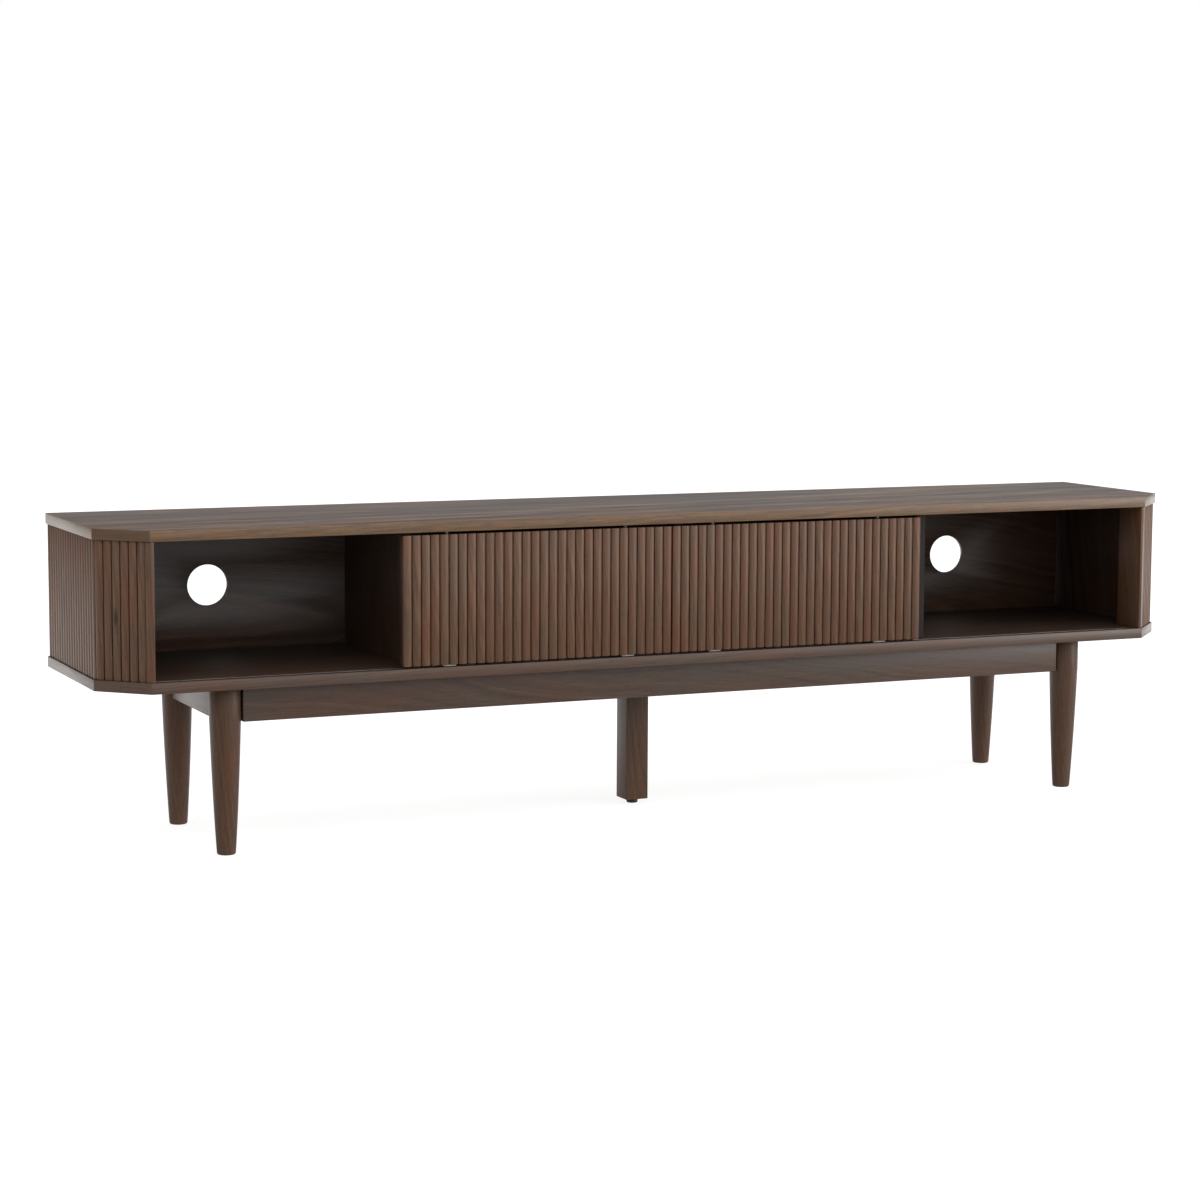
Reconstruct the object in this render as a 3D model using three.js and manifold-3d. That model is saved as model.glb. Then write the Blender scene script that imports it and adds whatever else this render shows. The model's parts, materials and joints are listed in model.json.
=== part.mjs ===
// A long, low television cabinet on turned legs. Millimetres, +Z up, front towards -Y.
// The origin is on the floor, below the middle of the case.
import * as THREE from 'three';
import { mergeVertices } from 'three/addons/utils/BufferGeometryUtils.js';
import Module from 'manifold-3d';

const wasm = await Module();
wasm.setup();

// ---- Driving dimensions ----

const GAP = 0.3; // left between pieces that touch

// Case
const LENGTH = 2000;
const DEPTH = 380;
const CORNER = 73.5; // leg of the 45 degree cut on the two front corners
const BOARD = 18;
const INNER_HEIGHT = 222;
const CASE_BOTTOM = 273; // floor to the underside of the case
const PARTITION_X = 473;
const PARTITION_FRONT = -163;
const BACK_PANEL_FRONT = 172;
const BACK_PANEL = 6;
const CABLE_HOLE_X = 728;
const CABLE_HOLE_Z = 401;
const CABLE_HOLE_RADIUS = 35;

// Reeded walls: a skin of reeds on a backing board
const REED_INSET = 2; // crests of the reeds, in from the edges of the top
const REED_SKIN = 9.7;
const REED_DEPTH = 4;
const REED_CROWN = 2.5;
const REED_GROOVE = 1.6;
const WALL_INSET = 12;
const WALL = 12;
const END_REEDS = 19;
const CORNER_REEDS = 6;
const STILE_INNER_X = 919.7;
const STILE_LIP_X = 932.2; // where the stile's bevelled front edge ends
const STILE = 6.2;
const STILE_BACK = -120;

// Sliding doors
const DOOR_REEDS = 30;
const DOOR_REED_PITCH = 16.08;
const DOOR_FRONT = -189.5;
const DOOR_PANEL = 12;
const DOOR_BOTTOM_GAP = 3.5;
const DOOR_TOP_GAP = 4.5;
const DOOR_SEAM_X = -24;
const DOOR_SEAM = 3;
const ROLLER_FROM_DOOR_END = 80;

// Running gear, all on one line behind the front edge
const TRACK_Y = -173;
const TRACK_HALF_LENGTH = 915;
const TRACK_WALL = 1.2;
const BOTTOM_TRACK_DEPTH = 5;
const BOTTOM_TRACK_CLEAR = 5.6;
const TOP_TRACK_DEPTH = 9;
const TOP_TRACK_CLEAR = 6.8;
const ROLLER_RADIUS = 8;
const ROLLER_WIDTH = 4.4;
const AXLE_RADIUS = 1.3;
const HOUSING = { x: 24, y: 9.2, z: 28 };
const HOUSING_ABOVE_SHELF = 1;
const PIN_RADIUS = 3;
const PIN_REACH = 6; // how far a guide pin enters the top track
const PIN_IN_DOOR = 15;

// Base
const LEG_X = 793;
const LEG_Y = 139;
const LEG_TOP_RADIUS = 25.5;
const LEG_FOOT_RADIUS = 15.25;
const LEG_TAPER_HEIGHT = 220;
const APRON_HEIGHT = 57.5;
const RAIL_HEIGHT = 54;
const RAIL = 20;
const RAIL_OUT = 15; // outer face of a rail, out from the axis of the legs
const BLOCK_NEAR = 28; // corner block's two faces, from the leg's axis
const BLOCK_FAR = 48;
const BLOCK_HEIGHT = 40;
const BOLT_RADIUS = 4;
const NUT_RADIUS = 7.5;
const NUT_THICKNESS = 6.5;
const POST = 42;
const POST_Y = 20;
const POST_BOTTOM = 8.5;
const GLIDE_RADIUS = 10;

// ---- Levels and lines worked out from them ----

const SHELF = CASE_BOTTOM + BOARD;
const CEILING = SHELF + INNER_HEIGHT;
const TOP = CEILING + BOARD;
const DOOR_BOTTOM = SHELF + DOOR_BOTTOM_GAP;
const DOOR_TOP = CEILING - DOOR_TOP_GAP;
const DOOR_WIDTH = DOOR_REEDS * DOOR_REED_PITCH - REED_GROOVE;
const DOOR_PANEL_FRONT = DOOR_FRONT + REED_SKIN + GAP;
const ROLLER_Z = SHELF - BOTTOM_TRACK_DEPTH + GAP + TRACK_WALL + 0.2 + ROLLER_RADIUS;
const BOLT_Z = CASE_BOTTOM - RAIL_HEIGHT / 2;
const BACK_EDGE = DEPTH / 2 - 0.5;

// ---- Materials ----

const finish = (color, roughness, metalness = 0) => ({ color, roughness, metalness });
const WALNUT_TOP = finish(0x71645c, 0.5);
const WALNUT = finish(0x6b5444, 0.55);
const WALNUT_DARK = finish(0x4a3a30, 0.6);
const GREY_NYLON = finish(0x8a8a84, 0.45);
const ALUMINIUM = finish(0x9a9a9a, 0.35, 1);
const STEEL = finish(0xa8a8a8, 0.3, 1);
const BLACK_PLASTIC = finish(0x151515, 0.6);

const cabinet = new THREE.Group();

function add(name, geometry, look, position = [0, 0, 0], rotationZ = 0) {
  const mesh = new THREE.Mesh(geometry, new THREE.MeshStandardMaterial(look));
  mesh.name = name;
  mesh.position.set(...position);
  mesh.rotation.z = rotationZ;
  cabinet.add(mesh);
  return mesh;
}

// ---- Shapes ----

// A block between two corners.
function block([x0, y0, z0], [x1, y1, z1]) {
  const shape = new THREE.BoxGeometry(x1 - x0, y1 - y0, z1 - z0);
  return shape.translate((x0 + x1) / 2, (y0 + y1) / 2, (z0 + z1) / 2);
}

// An upright prism over an outline drawn in plan.
function prism(outline, z0, z1) {
  const shape = new THREE.Shape(outline.map(([x, y]) => new THREE.Vector2(x, y)));
  return new THREE.ExtrudeGeometry(shape, { depth: z1 - z0, bevelEnabled: false }).translate(0, 0, z0);
}

// A turned shape about Z from [radius, height] pairs.
function turned(profile, sides = 24) {
  return new THREE.LatheGeometry(profile.map(([r, z]) => new THREE.Vector2(r, z)), sides).rotateX(Math.PI / 2);
}

// A round bar about Z.
function bar(radius, z0, z1, sides = 24) {
  return turned([[0, z0], [radius, z0], [radius, z1], [0, z1]], sides);
}

function solid(geometry) {
  const bare = geometry.clone();
  bare.deleteAttribute('normal');
  bare.deleteAttribute('uv');
  const merged = mergeVertices(bare, 1e-4);
  return new wasm.Manifold(new wasm.Mesh({
    numProp: 3,
    vertProperties: merged.attributes.position.array,
    triVerts: new Uint32Array(merged.index.array),
  }));
}

function geometryOf(body) {
  const { vertProperties, triVerts } = body.getMesh();
  const shape = new THREE.BufferGeometry();
  shape.setAttribute('position', new THREE.BufferAttribute(new Float32Array(vertProperties), 3));
  shape.setIndex(new THREE.BufferAttribute(new Uint32Array(triVerts), 1));
  const flat = shape.toNonIndexed();
  flat.computeVertexNormals();
  return flat;
}

function cut(base, ...tools) {
  return geometryOf(tools.reduce((body, tool) => body.subtract(solid(tool)), solid(base)));
}

function join(first, second) {
  return geometryOf(solid(first).add(solid(second)));
}

// ---- Case ----

const half = LENGTH / 2;
const front = -DEPTH / 2;
const boardOutline = [
  [-half, DEPTH / 2], [-half, front + CORNER], [-half + CORNER, front],
  [half - CORNER, front], [half, front + CORNER], [half, DEPTH / 2],
];

// The groove that a track channel lies in, from the board's face inwards.
function trackGroove(clear, z0, z1) {
  const across = clear / 2 + TRACK_WALL + GAP;
  const along = TRACK_HALF_LENGTH + GAP;
  return block([-along, TRACK_Y - across, z0], [along, TRACK_Y + across, z1]);
}

function makeBoards() {
  const bottomGroove = trackGroove(BOTTOM_TRACK_CLEAR, SHELF - BOTTOM_TRACK_DEPTH, SHELF + 1);
  const topGroove = trackGroove(TOP_TRACK_CLEAR, CEILING - 1, CEILING + TOP_TRACK_DEPTH);
  add('bottom_board', cut(prism(boardOutline, CASE_BOTTOM, SHELF), bottomGroove), WALNUT);
  add('top_board', cut(prism(boardOutline, CEILING, TOP), topGroove), WALNUT_TOP);
}

function makePartitions() {
  const size = new THREE.BoxGeometry(BOARD, BACK_PANEL_FRONT - GAP - PARTITION_FRONT, INNER_HEIGHT - 2 * GAP);
  const y = (BACK_PANEL_FRONT - GAP + PARTITION_FRONT) / 2;
  const z = (SHELF + CEILING) / 2;
  for (const [name, x] of [['left', -PARTITION_X], ['centre', 0], ['right', PARTITION_X]]) {
    add(`${name}_partition`, size.clone(), WALNUT_DARK, [x, y, z]);
  }
}

function makeBackPanel() {
  const reach = half - WALL_INSET - WALL - GAP;
  const y1 = BACK_PANEL_FRONT + BACK_PANEL;
  const panel = block([-reach, BACK_PANEL_FRONT, SHELF + GAP], [reach, y1, CEILING - GAP]);
  const holes = [-CABLE_HOLE_X, CABLE_HOLE_X].map((x) => (
    bar(CABLE_HOLE_RADIUS, -20, 20, 32).rotateX(Math.PI / 2).translate(x, BACK_PANEL_FRONT, CABLE_HOLE_Z)
  ));
  add('back_panel', cut(panel, ...holes), WALNUT_DARK);
}

// ---- Reeded walls ----

// Reeds side by side over a length: [along, depth] pairs, depth counted inwards from the crests.
function reeds(from, to, count) {
  const pitch = (to - from + REED_GROOVE) / count;
  const halfReed = (pitch - REED_GROOVE) / 2;
  const arc = [-1, -0.6, -0.2, 0.2, 0.6, 1];
  const points = [];
  for (let i = 0; i < count; i += 1) {
    const middle = from + halfReed + i * pitch;
    points.push([middle - halfReed, REED_DEPTH]);
    for (const k of arc) points.push([middle + k * halfReed, REED_CROWN * k * k]);
    points.push([middle + halfReed, REED_DEPTH]);
  }
  return points.slice(1, -1); // the outer flanks run straight down to the backing
}

const MITRE = Math.tan(Math.PI / 8); // walls meet at 135 degrees
const DIAGONAL = Math.SQRT1_2;

// Places [along, depth] pairs on the end wall or on the corner wall of one side, measured from
// the vertical edge where the two crest planes meet.
function onWall(wall, side, pairs) {
  const edge = [half - REED_INSET, front + CORNER + MITRE * REED_INSET];
  return pairs.map(([along, depth]) => (wall === 'end'
    ? [side * (edge[0] - depth), edge[1] + along]
    : [side * (edge[0] - DIAGONAL * (along + depth)), edge[1] - DIAGONAL * (along - depth)]));
}

function makeWalls(side, name) {
  const z = [SHELF + GAP, CEILING - GAP];
  const edgeX = half - REED_INSET;
  const mitreAt = (depth) => MITRE * depth + GAP / 2;
  const endLength = BACK_EDGE - (front + CORNER + MITRE * REED_INSET);
  const boardFront = WALL_INSET - REED_INSET;
  const boardBack = boardFront + WALL;

  const endSkin = [
    [mitreAt(REED_SKIN), REED_SKIN], [mitreAt(REED_DEPTH), REED_DEPTH],
    ...reeds(mitreAt(REED_DEPTH), endLength, END_REEDS), [endLength, REED_SKIN],
  ];
  add(`${name}_end_slats`, prism(onWall('end', side, endSkin), ...z), WALNUT);
  const endBoard = [
    [mitreAt(boardFront), boardFront], [endLength, boardFront],
    [endLength, boardBack], [mitreAt(boardBack), boardBack],
  ];
  add(`${name}_end_board`, prism(onWall('end', side, endBoard), ...z), WALNUT_DARK);

  // The corner wall stops against the stile.
  const stileOuter = STILE_INNER_X + STILE;
  const stopAt = (depth) => (edgeX - stileOuter - GAP) / DIAGONAL - depth;
  const lipAt = (edgeX - STILE_LIP_X) / DIAGONAL;
  const lastReed = lipAt - REED_GROOVE;
  const cornerSkin = [
    [mitreAt(REED_SKIN), REED_SKIN], [mitreAt(REED_DEPTH), REED_DEPTH],
    ...reeds(mitreAt(REED_DEPTH), lastReed, CORNER_REEDS),
    [lastReed, REED_DEPTH], [stopAt(REED_SKIN), REED_SKIN],
  ];
  add(`${name}_corner_slats`, prism(onWall('corner', side, cornerSkin), ...z), WALNUT);
  const cornerBoard = [
    [mitreAt(boardFront), boardFront], [stopAt(boardFront), boardFront],
    [stopAt(boardBack), boardBack], [mitreAt(boardBack), boardBack],
  ];
  add(`${name}_corner_board`, prism(onWall('corner', side, cornerBoard), ...z), WALNUT_DARK);

  // The stile ends the front opening. Its front edge is flat in line with the doors, then bevelled in
  // line with the corner reeds.
  const bendAt = (front + CORNER + MITRE * REED_INSET - DOOR_FRONT) / DIAGONAL;
  const [bend, lipFront, lipBack] = onWall('corner', side, [
    [bendAt, 0], [lipAt, 0], [lipAt, (STILE_LIP_X - stileOuter) / DIAGONAL],
  ]);
  const stile = [
    [side * STILE_INNER_X, DOOR_FRONT], bend, lipFront, lipBack,
    [side * stileOuter, STILE_BACK], [side * STILE_INNER_X, STILE_BACK],
  ];
  add(`${name}_corner_stile`, prism(stile, ...z), WALNUT);
}

// ---- Sliding doors ----

function makeDoor(name, x0) {
  const x1 = x0 + DOOR_WIDTH;
  const skin = [[0, REED_SKIN], ...reeds(0, DOOR_WIDTH, DOOR_REEDS), [DOOR_WIDTH, REED_SKIN]]
    .map(([along, depth]) => [x0 + along, DOOR_FRONT + depth]);
  add(`${name}_door_slats`, prism(skin, DOOR_BOTTOM, DOOR_TOP), WALNUT);

  const panelBack = DOOR_PANEL_FRONT + DOOR_PANEL;
  const pockets = [];
  for (const [end, x] of [['left', x0 + ROLLER_FROM_DOOR_END], ['right', x1 - ROLLER_FROM_DOOR_END]]) {
    makeRoller(`${name}_door_${end}`, x);
    makeGuidePin(`${name}_door_${end}`, x);
    const halfPocket = HOUSING.x / 2 + GAP;
    pockets.push(
      block([x - halfPocket, TRACK_Y - HOUSING.y / 2 - GAP, DOOR_BOTTOM - 1],
        [x + halfPocket, panelBack + 1, SHELF + HOUSING_ABOVE_SHELF + HOUSING.z + GAP]),
      bar(PIN_RADIUS + 0.35, DOOR_TOP - PIN_IN_DOOR - GAP, DOOR_TOP + 1, 12).translate(x, TRACK_Y, 0),
    );
  }
  const panel = block([x0, DOOR_PANEL_FRONT, DOOR_BOTTOM], [x1, panelBack, DOOR_TOP]);
  add(`${name}_door_panel`, cut(panel, ...pockets), WALNUT_DARK);
}

// A roller in its forked housing, let into the back of the door at its bottom edge.
function makeRoller(name, x) {
  const bottom = SHELF + HOUSING_ABOVE_SHELF - ROLLER_Z;
  const slot = ROLLER_WIDTH / 2 + 0.4;
  const body = block([-HOUSING.x / 2, -HOUSING.y / 2, bottom], [HOUSING.x / 2, HOUSING.y / 2, bottom + HOUSING.z]);
  const fork = block([-ROLLER_RADIUS - 0.8, -slot, bottom - 1], [ROLLER_RADIUS + 0.8, slot, ROLLER_RADIUS + 1]);
  const axleHole = bar(AXLE_RADIUS + GAP, -HOUSING.y, HOUSING.y, 16).rotateX(Math.PI / 2);
  const place = [x, TRACK_Y, ROLLER_Z];
  add(`${name}_roller_housing`, cut(body, fork, axleHole), GREY_NYLON, place);

  const w = ROLLER_WIDTH / 2;
  const bore = AXLE_RADIUS + GAP;
  const tyre = [[bore, -w], [ROLLER_RADIUS - 0.7, -w], [ROLLER_RADIUS, -w + 0.7], [ROLLER_RADIUS, w - 0.7],
    [ROLLER_RADIUS - 0.7, w], [bore, w], [bore, -w]];
  add(`${name}_roller`, turned(tyre).rotateX(Math.PI / 2), GREY_NYLON, place);
  const halfAxle = HOUSING.y / 2 - 0.2;
  add(`${name}_roller_axle`, bar(AXLE_RADIUS, -halfAxle, halfAxle, 16).rotateX(Math.PI / 2), STEEL, place);
}

function makeGuidePin(name, x) {
  const pin = bar(PIN_RADIUS, DOOR_TOP - PIN_IN_DOOR, CEILING + PIN_REACH, 12);
  add(`${name}_guide_pin`, pin, GREY_NYLON, [x, TRACK_Y, 0]);
}

// A channel with its open side up (1) or down (-1); z is its closed side.
function channel(clear, z, depth, open) {
  const outer = clear / 2 + TRACK_WALL;
  const wallEnd = open * depth;
  const section = [
    [-outer, 0], [outer, 0], [outer, wallEnd], [clear / 2, wallEnd],
    [clear / 2, open * TRACK_WALL], [-clear / 2, open * TRACK_WALL], [-clear / 2, wallEnd], [-outer, wallEnd],
  ];
  return prism(section, -TRACK_HALF_LENGTH, TRACK_HALF_LENGTH)
    .rotateX(Math.PI / 2).rotateZ(Math.PI / 2).translate(0, TRACK_Y, z);
}

function makeTracks() {
  const bottomZ = SHELF - BOTTOM_TRACK_DEPTH + GAP;
  add('bottom_track', channel(BOTTOM_TRACK_CLEAR, bottomZ, BOTTOM_TRACK_DEPTH - 2 * GAP, 1), ALUMINIUM);
  const topZ = CEILING + TOP_TRACK_DEPTH - GAP;
  add('top_track', channel(TOP_TRACK_CLEAR, topZ, TOP_TRACK_DEPTH - 2 * GAP, -1), ALUMINIUM);
}

// ---- Base ----

// Radius of a leg at a height: a gently swelling taper below the rails.
function legRadius(height) {
  const t = Math.min(height / LEG_TAPER_HEIGHT, 1);
  return LEG_FOOT_RADIUS + (LEG_TOP_RADIUS - LEG_FOOT_RADIUS) * (1.36 * t - 0.36 * t * t);
}

function makeLegs() {
  const rounding = 3;
  const profile = [[0, 0], [LEG_FOOT_RADIUS - rounding, 0], [LEG_FOOT_RADIUS - 0.8, 1]];
  const steps = 8;
  for (let i = 0; i <= steps; i += 1) {
    const height = rounding + ((LEG_TAPER_HEIGHT - rounding) * i) / steps;
    profile.push([legRadius(height), height]);
  }
  const top = CASE_BOTTOM - GAP;
  profile.push([LEG_TOP_RADIUS, top], [0, top]);
  for (const [end, sy] of [['front', -1], ['back', 1]]) {
    for (const [name, sx] of [['left', -1], ['right', 1]]) {
      const inwards = Math.atan2(-sy, -sx); // from the leg towards the middle, at 45 degrees
      const place = [sx * LEG_X, sy * LEG_Y, 0];
      const hole = bar(BOLT_RADIUS + 0.4, 6, 90, 16).rotateY(Math.PI / 2).translate(0, 0, BOLT_Z);
      add(`${name}_${end}_leg`, cut(turned(profile), hole), WALNUT, place, inwards);

      const shank = bar(BOLT_RADIUS, 7, BLOCK_FAR + 12, 16).rotateY(Math.PI / 2);
      const nutStart = BLOCK_FAR + GAP;
      const nut = bar(NUT_RADIUS, nutStart, nutStart + NUT_THICKNESS, 6).rotateY(Math.PI / 2);
      add(`${name}_${end}_leg_bolt`, join(shank, nut), STEEL, [place[0], place[1], BOLT_Z], inwards);

      // The corner block bridges the apron and the side rail behind the leg.
      const alongRail = RAIL - RAIL_OUT + GAP; // inner faces of the rails, from the leg's axis
      const reach = (distance) => distance * Math.SQRT2 - alongRail;
      const outline = [
        [reach(BLOCK_NEAR), alongRail], [reach(BLOCK_FAR), alongRail],
        [alongRail, reach(BLOCK_FAR)], [alongRail, reach(BLOCK_NEAR)],
      ].map(([x, y]) => [-sx * x, -sy * y]);
      const blockShape = prism(outline, -BLOCK_HEIGHT / 2, BLOCK_HEIGHT / 2);
      const boltHole = bar(BOLT_RADIUS + 0.4, 0, 90, 16).rotateY(Math.PI / 2).rotateZ(inwards);
      add(`${name}_${end}_corner_block`, cut(blockShape, boltHole), WALNUT_DARK, [place[0], place[1], BOLT_Z]);
    }
  }
}

function makeRails() {
  const z = [CASE_BOTTOM - RAIL_HEIGHT, CASE_BOTTOM - GAP];
  const apronZ = [CASE_BOTTOM - APRON_HEIGHT, CASE_BOTTOM - GAP];
  const apronReach = LEG_X - LEG_TOP_RADIUS - GAP;
  const apronOut = LEG_Y + RAIL_OUT;
  const sideReach = LEG_Y - LEG_TOP_RADIUS - GAP;
  const sideOut = LEG_X + RAIL_OUT;
  const crossReach = apronOut - RAIL - GAP;
  for (const [end, side] of [['front', -1], ['back', 1]]) {
    const apron = block([-apronReach, -RAIL / 2, apronZ[0]], [apronReach, RAIL / 2, apronZ[1]]);
    add(`${end}_apron`, apron, WALNUT, [0, side * (apronOut - RAIL / 2), 0]);
  }
  add('left_side_rail', block([-sideOut, -sideReach, z[0]], [-sideOut + RAIL, sideReach, z[1]]), WALNUT);
  add('right_side_rail', block([sideOut - RAIL, -sideReach, z[0]], [sideOut, sideReach, z[1]]), WALNUT);
  add('centre_rail', block([-RAIL / 2, -crossReach, z[0]], [RAIL / 2, crossReach, z[1]]), WALNUT_DARK);
}

// The middle of the case stands on a square post with a screw-in glide.
function makeCentrePost() {
  const top = CASE_BOTTOM - RAIL_HEIGHT - GAP;
  const insertRadius = 6.5;
  const post = block([-POST / 2, -POST / 2, POST_BOTTOM], [POST / 2, POST / 2, top]);
  add('centre_post', cut(post, bar(insertRadius + GAP, POST_BOTTOM - 1, 38)), WALNUT, [0, POST_Y, 0]);

  const bore = BOLT_RADIUS + GAP;
  const z0 = POST_BOTTOM + GAP;
  const z1 = z0 + 15;
  const insert = [[bore, z0], [insertRadius, z0], [insertRadius, z1], [bore, z1], [bore, z0]];
  add('centre_glide_insert', turned(insert), STEEL, [0, POST_Y, 0]);

  const padTop = POST_BOTTOM - 1.5;
  const glide = [[0, 0], [GLIDE_RADIUS - 2, 0], [GLIDE_RADIUS - 0.6, 0.6], [GLIDE_RADIUS, 2],
    [GLIDE_RADIUS, 5], [GLIDE_RADIUS - 1.5, padTop], [BOLT_RADIUS, padTop], [BOLT_RADIUS, 34], [0, 34]];
  add('centre_glide', turned(glide), BLACK_PLASTIC, [0, POST_Y, 0]);
}

makeBoards();
makePartitions();
makeBackPanel();
makeWalls(-1, 'left');
makeWalls(1, 'right');
makeDoor('left', DOOR_SEAM_X - DOOR_SEAM / 2 - DOOR_WIDTH);
makeDoor('right', DOOR_SEAM_X + DOOR_SEAM / 2);
makeTracks();
makeLegs();
makeRails();
makeCentrePost();

export default cabinet;
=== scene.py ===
# %% [markdown]
# # A long, low television cabinet in walnut-stained wood
# The cabinet is two long boards with reeded walls between them, a pair of reeded sliding doors, and a
# base of rails and turned legs. Its sizes and joints were settled in CAD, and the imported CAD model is
# loaded here as a fixed frame. Every wooden piece is then modelled again over its CAD node, with the
# small roundings, the separate reeds and the grain that the plain solids lack.

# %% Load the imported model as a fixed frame
import json
from math import cos, pi, radians, sin, tan

import bmesh
import bpy
from mathutils import Matrix, Vector

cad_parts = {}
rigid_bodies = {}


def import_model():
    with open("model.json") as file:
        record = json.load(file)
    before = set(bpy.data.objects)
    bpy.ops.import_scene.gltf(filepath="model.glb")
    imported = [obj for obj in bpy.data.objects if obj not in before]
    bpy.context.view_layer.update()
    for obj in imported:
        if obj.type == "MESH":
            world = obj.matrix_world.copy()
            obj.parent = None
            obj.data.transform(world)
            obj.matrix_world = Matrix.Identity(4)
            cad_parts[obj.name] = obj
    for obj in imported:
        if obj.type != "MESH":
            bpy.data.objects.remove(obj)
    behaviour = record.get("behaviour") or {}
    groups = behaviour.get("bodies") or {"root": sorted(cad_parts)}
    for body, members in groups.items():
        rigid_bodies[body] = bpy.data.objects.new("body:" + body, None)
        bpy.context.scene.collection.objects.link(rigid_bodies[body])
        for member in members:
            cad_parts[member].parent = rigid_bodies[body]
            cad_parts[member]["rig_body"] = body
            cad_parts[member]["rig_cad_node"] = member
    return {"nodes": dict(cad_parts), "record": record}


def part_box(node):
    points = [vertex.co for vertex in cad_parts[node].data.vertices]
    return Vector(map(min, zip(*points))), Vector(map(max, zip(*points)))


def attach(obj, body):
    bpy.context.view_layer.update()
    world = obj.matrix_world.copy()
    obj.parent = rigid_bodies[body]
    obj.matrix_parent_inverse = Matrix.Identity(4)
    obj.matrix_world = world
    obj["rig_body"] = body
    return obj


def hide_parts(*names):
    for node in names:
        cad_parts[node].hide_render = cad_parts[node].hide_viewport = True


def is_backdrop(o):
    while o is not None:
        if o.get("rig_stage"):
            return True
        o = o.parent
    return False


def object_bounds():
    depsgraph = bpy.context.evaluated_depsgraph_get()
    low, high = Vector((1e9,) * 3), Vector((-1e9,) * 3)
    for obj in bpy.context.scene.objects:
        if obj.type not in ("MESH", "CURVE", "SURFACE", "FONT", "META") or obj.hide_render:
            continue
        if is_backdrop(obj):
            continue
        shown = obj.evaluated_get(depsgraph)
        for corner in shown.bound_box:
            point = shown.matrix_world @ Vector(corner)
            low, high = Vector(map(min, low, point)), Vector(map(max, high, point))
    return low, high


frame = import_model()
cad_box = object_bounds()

MM = 0.001
NODES = frame["nodes"]
BODY_OF = {n: body for body, names in frame["record"]["behaviour"]["bodies"].items() for n in names}
print(len(NODES), "CAD nodes, overall size", [round(x, 4) for x in cad_box[1] - cad_box[0]])

# %% [markdown]
# ## The camera
# The camera stands in front and to the left, a little above the top board, with a long lens, so the
# cabinet's long lines run nearly parallel. Three turns say it all: level and facing the cabinet, then
# heading, tilt and a hair of roll.

# %% Place the camera
HEADING = radians(24.253)
TILT_DOWN = radians(6.588)
ROLL = radians(0.277)

bpy.ops.object.camera_add()
camera = bpy.context.object
camera.name = "camera"
camera.data.lens = 86.33
camera.data.sensor_width = 36
camera.data.clip_end = 100
camera.matrix_world = (
    Matrix.Translation((-2.1172, -4.5372, 0.9404))
    @ Matrix.Rotation(-HEADING, 4, "Z")
    @ Matrix.Rotation(pi / 2 - TILT_DOWN, 4, "X")
    @ Matrix.Rotation(ROLL, 4, "Z")
)
bpy.context.scene.camera = camera
print("camera at", [round(x, 3) for x in camera.location])

# %% [markdown]
# ## Node helper
# Colours are picked as sRGB hex values, the way a paint chart gives them, and the shaders work in linear
# light, so one function turns one into the other. One more function adds a node of any kind, sets what is
# fixed and links what isn't. Each kind of node could have a function of its own, but a single one keeps
# the nodes' own names in plain sight, so they are easy to find in the shader editor.

# %% Colour conversion and one node helper
def colour(hex_value):
    """An sRGB hex colour as linear red, green, blue and alpha."""
    channels = [int(hex_value[i:i + 2], 16) / 255 for i in (1, 3, 5)]
    return tuple(c / 12.92 if c <= 0.04045 else ((c + 0.055) / 1.055) ** 2.4 for c in channels) + (1,)


def add_node(tree, kind, inputs=None, stops=(), **settings):
    """Adds a node. Inputs go by socket name or number, and each is a value, a socket, or a node, which
    stands for its first output in use. Stops are a colour ramp's (position, hex colour) pairs."""
    node = tree.nodes.new(kind)
    for name, value in settings.items():
        setattr(node, name, value)
    for socket, value in (inputs or {}).items():
        if isinstance(value, bpy.types.Node):
            value = next(output for output in value.outputs if output.enabled)
        if isinstance(value, bpy.types.NodeSocket):
            tree.links.new(value, node.inputs[socket])
        else:
            node.inputs[socket].default_value = value
    for number, (position, hex_value) in enumerate(stops):
        points = node.color_ramp.elements
        point = points[number] if number < len(points) else points.new(position)
        point.position = position
        point.color = colour(hex_value)
    return node


def new_material(name):
    """A material with an empty node tree."""
    material = bpy.data.materials.new(name)
    material.use_nodes = True
    material.node_tree.nodes.clear()
    return material, material.node_tree


def per_mm(*sizes):
    """Mapping scales that make a noise of scale 1 as coarse as these sizes in millimetres."""
    return tuple(1 / (size * MM) for size in sizes)


print("walnut brown in linear light:", [round(c, 3) for c in colour("#6b5040")])

# %% [markdown]
# ## Wood
# Every wooden face here is the same timber under one walnut stain and a satin lacquer. What the eye reads
# as wood has four scales: broad figure from the growth rings, streaks along the fibres, short dark pores,
# and the soft blotches where the stain went in unevenly. An image of a plank would show all four but
# repeats, and it would not turn the corner from face to edge. A solid pattern does, so the rings are drawn
# as shells round a slightly tilted pith, and the rest is noise stretched along the grain.
#
# Each piece carries an attribute called grain: its x runs along the fibres, whichever way the piece
# lies, and each piece starts at another place in the tree. A second attribute called tone says how pale
# or red one strip is beside the next.

# %% Wood shader
PITH_PLACE = (0, 4 * MM, 35 * MM)
PITH_TILT = (0, radians(3), radians(4))  # what draws arches on a flat face
PITH_WANDER = (0, 50 * MM, 50 * MM)
PORE_DARKNESS = 0.35
RELIEF = 0.08 * MM
KNOT_COLOUR = "#1d130d"


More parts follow.
